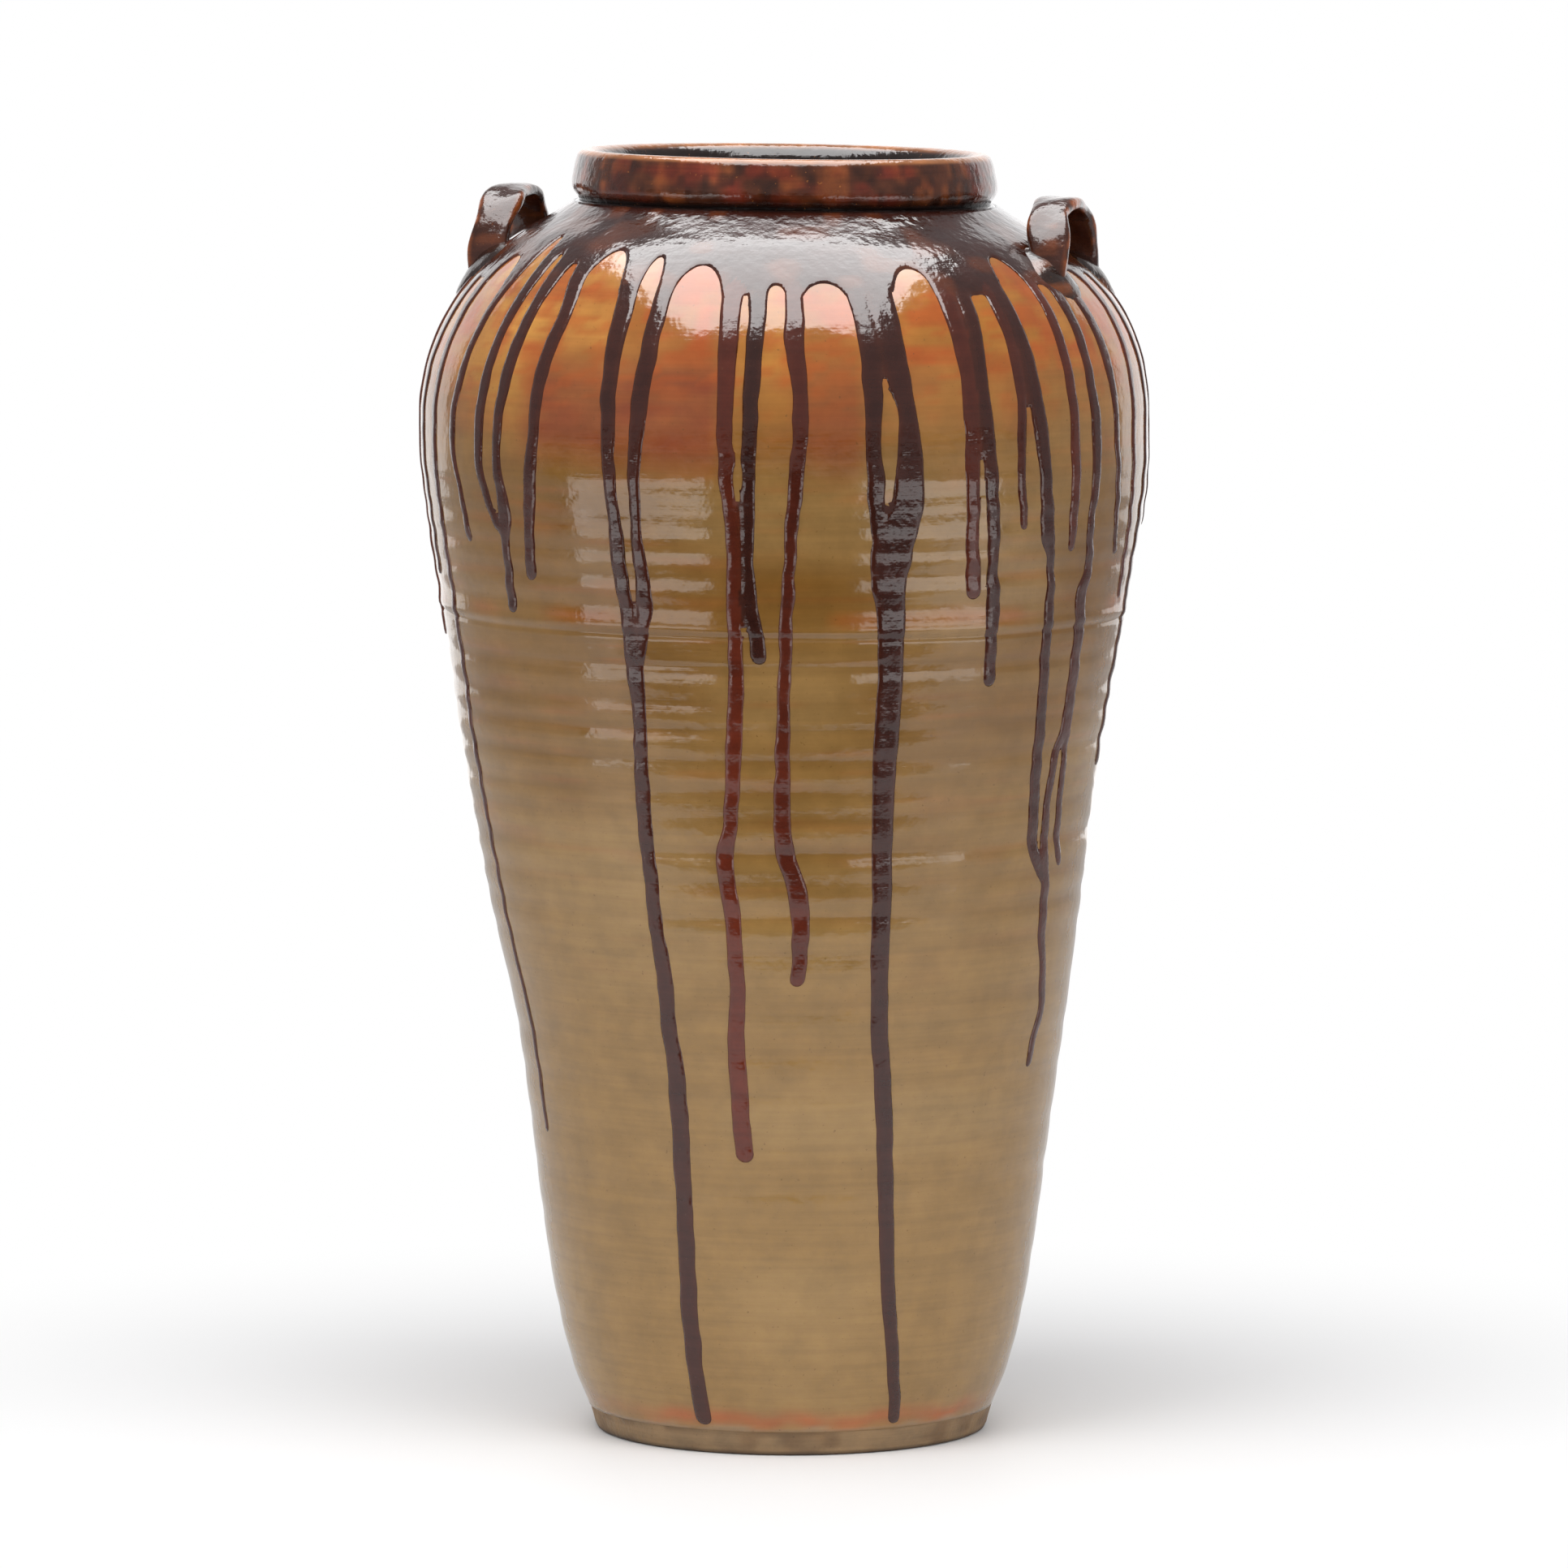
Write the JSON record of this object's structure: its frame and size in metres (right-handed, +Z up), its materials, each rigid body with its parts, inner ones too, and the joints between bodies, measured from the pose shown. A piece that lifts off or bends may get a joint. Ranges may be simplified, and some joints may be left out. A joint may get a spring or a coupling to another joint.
{
  "type": "storage jar",
  "caption": "Tall glazed stoneware storage jar with a flared collar rim, two strap lugs on the shoulder and dark glaze runs over a honey-coloured ground.",
  "frame": {"origin": "middle of the foot, on the floor", "axes": "+Z up the jar's axis, -Y towards the front that the picture shows, +X to the right"},
  "size_m": [0.3418, 0.3418, 0.6],
  "materials": {
    "bare_clay": "dry fired stoneware, sandy, with a rust flash line under the glaze",
    "clay_body": "fired stoneware body",
    "slip": "fine luting slip, fired",
    "ground_glaze": "glossy honey to khaki ash glaze, ambers and rusts on the shoulder",
    "inner_glaze": "glossy near-black brown glaze",
    "dark_glaze": "thick glossy dark brown iron glaze, red-brown where thin",
    "rim_glaze": "glossy mottled brown and rust glaze, thin and orange on edges",
    "lug_glaze": "glossy dark brown glaze, orange-brown on broken edges"
  },
  "bodies": {
    "root": {"base_disc": "bare_clay", "lower_wall": "clay_body", "upper_wall": "clay_body", "seam_slip": "slip", "neck_ring": "clay_body", "rim_collar": "clay_body", "right_lug": "lug_glaze", "left_lug": "lug_glaze", "right_lug_wads": "lug_glaze", "left_lug_wads": "lug_glaze", "ground_glaze": "ground_glaze", "inner_glaze": "inner_glaze", "shoulder_glaze": "dark_glaze", "rim_glaze": "rim_glaze", "front_runs": "dark_glaze", "back_runs": "dark_glaze"}
  },
  "joints": []
}
